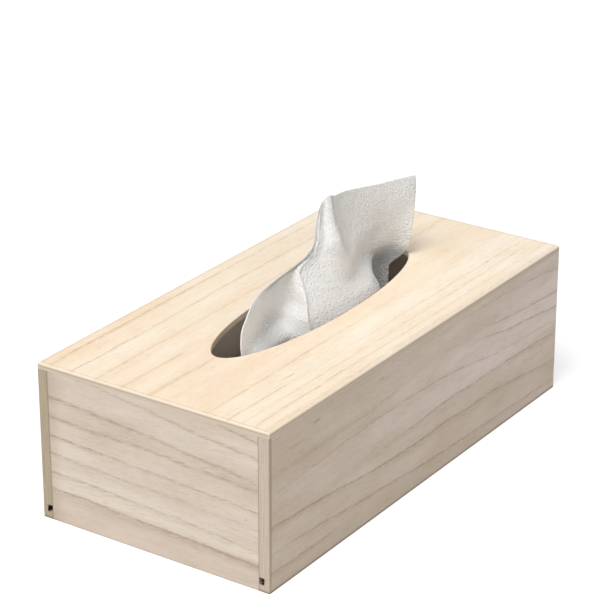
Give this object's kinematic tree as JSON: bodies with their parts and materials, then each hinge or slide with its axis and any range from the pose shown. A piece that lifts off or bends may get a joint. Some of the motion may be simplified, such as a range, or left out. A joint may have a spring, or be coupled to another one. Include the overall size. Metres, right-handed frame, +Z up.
{
  "type": "tissue box holder",
  "caption": "Rectangular wooden tissue box holder with an oval slot in the top, a base that slides out of grooves at one end, and a tissue pulled up through the slot.",
  "frame": {"origin": "middle of the rectangle that the box stands on, at the height of the surface under it", "axes": "+X along the length, towards the end where the base slides out; -Y towards the front long side; +Z up"},
  "size_m": [0.26, 0.13, 0.1285],
  "materials": {
    "top_panel": "bare sanded pale wood, grain along the length",
    "front_side_panel": "bare sanded pale wood, end grain at both ends",
    "back_side_panel": "bare sanded pale wood, end grain at both ends",
    "closed_end_panel": "bare sanded pale wood, grain across the width",
    "open_end_panel": "bare sanded pale wood, grain across the width",
    "base_board": "thin bare board, grain along the length",
    "base_end_rail": "bare sanded pale wood strip",
    "tissue_pack": "matt white folded tissue",
    "pulled_tissue": "matt white embossed tissue"
  },
  "bodies": {
    "box": {"top_panel": "top_panel", "front_side_panel": "front_side_panel", "back_side_panel": "back_side_panel", "closed_end_panel": "closed_end_panel", "open_end_panel": "open_end_panel", "tissue_pack": "tissue_pack"},
    "sliding_base": {"base_board": "base_board", "base_end_rail": "base_end_rail"},
    "tissue": {"pulled_tissue": "pulled_tissue"}
  },
  "joints": [
    {"name": "base_slide", "type": "slide", "parent": "box", "child": "sliding_base", "axis": [1, 0, 0], "range_m": [0, 0.258]},
    {"name": "tissue_pull", "type": "slide", "parent": "box", "child": "tissue", "axis": [0, 0, 1], "range_m": [0, 0.06]}
  ]
}
